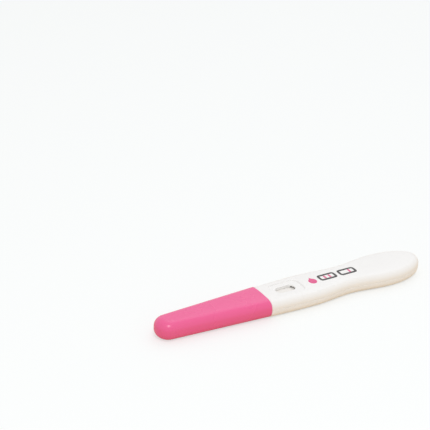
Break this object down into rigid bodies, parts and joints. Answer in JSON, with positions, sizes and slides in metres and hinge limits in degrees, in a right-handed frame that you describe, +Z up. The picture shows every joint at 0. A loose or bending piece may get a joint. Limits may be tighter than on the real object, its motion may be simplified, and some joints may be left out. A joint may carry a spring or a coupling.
{
  "type": "midstream pregnancy test stick",
  "caption": "Flat white moulded test stick with a recessed result window, a waist and a thumb paddle, a layered test strip inside, and a tapered pull-off cap over its absorbent wick.",
  "frame": {"origin": "middle of the capped stick, on the surface that it lies on", "axes": "+X along the stick from the cap to the thumb paddle, +Z up through the result window"},
  "size_m": [0.14, 0.0212, 0.0088],
  "materials": {
    "cap_plastic": "satin moulded polypropylene",
    "housing_plastic": "satin moulded polystyrene",
    "wick_fibre": "bonded fibre",
    "card_plastic": "smooth card",
    "conjugate_fibre": "dyed glass fibre",
    "membrane": "matt membrane",
    "pad_paper": "absorbent paper"
  },
  "bodies": {
    "stick": {"upper_housing": "housing_plastic", "lower_housing": "housing_plastic", "absorbent_wick": "wick_fibre", "backing_card": "card_plastic", "conjugate_pad": "conjugate_fibre", "test_membrane": "membrane", "absorbent_pad": "pad_paper"},
    "cap": {"cap": "cap_plastic"}
  },
  "joints": [
    {"name": "cap_pull", "type": "slide", "parent": "stick", "child": "cap", "axis": [-1, 0, 0], "range_m": [0, 0.05]}
  ]
}
